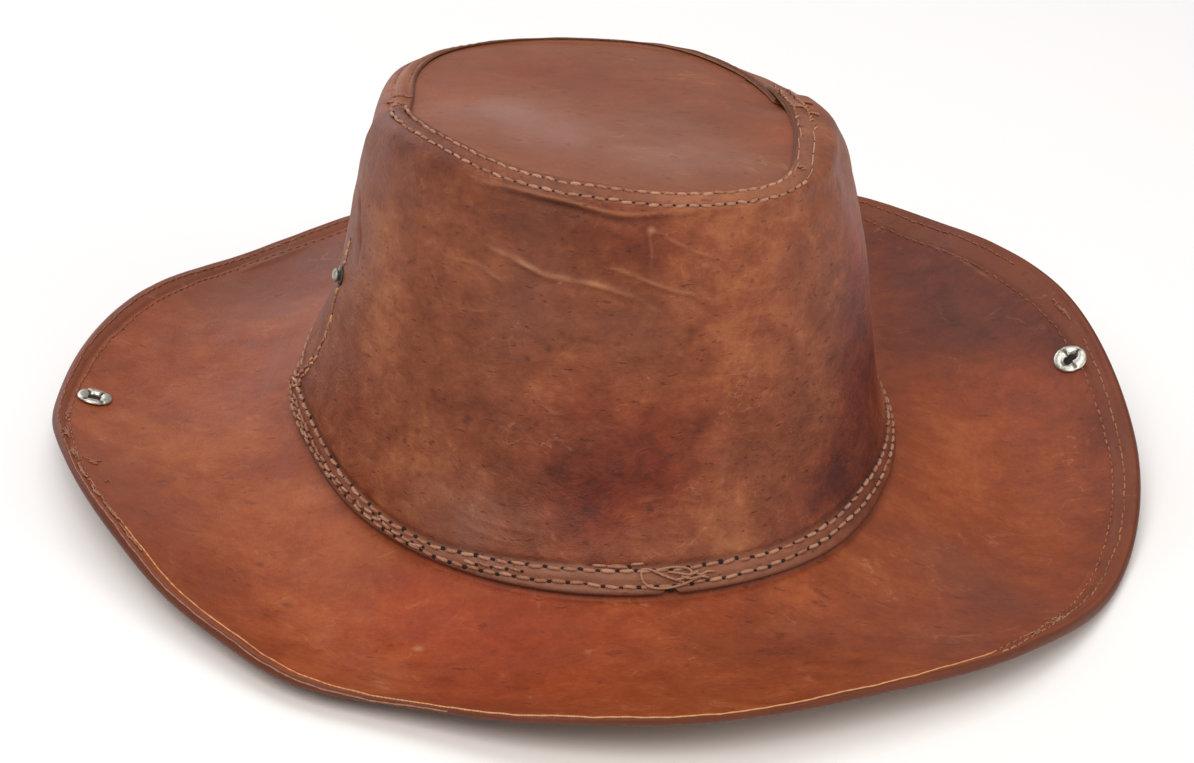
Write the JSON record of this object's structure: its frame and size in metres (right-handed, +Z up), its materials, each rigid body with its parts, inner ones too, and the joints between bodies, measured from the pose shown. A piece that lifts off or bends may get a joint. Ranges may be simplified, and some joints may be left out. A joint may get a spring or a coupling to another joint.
{
  "type": "leather hat",
  "caption": "Wide-brimmed leather hat with a flat-topped flaring crown, a stitched wavy brim and side snaps to hold the brim up.",
  "frame": {"origin": "on the ground under the middle of the hat's box, where the brim rests", "axes": "+Z up through the flat top of the crown, -Y to the front of the hat, +X to the right as seen from the front"},
  "size_m": [0.3473, 0.3565, 0.1273],
  "materials": {
    "crown_leather": "waxed, satin, mottled brown",
    "tip_leather": "waxed, satin, even brown",
    "brim_leather": "waxed, satin, red brown",
    "snap_metal": "worn nickel",
    "thread": "waxed tan thread"
  },
  "bodies": {
    "root": {"crown_front": "crown_leather", "crown_back": "crown_leather", "crown_tip": "tip_leather", "brim": "brim_leather", "snap_left": "snap_metal", "snap_right": "snap_metal", "crown_stud_left": "snap_metal", "crown_stud_right": "snap_metal"}
  },
  "joints": []
}
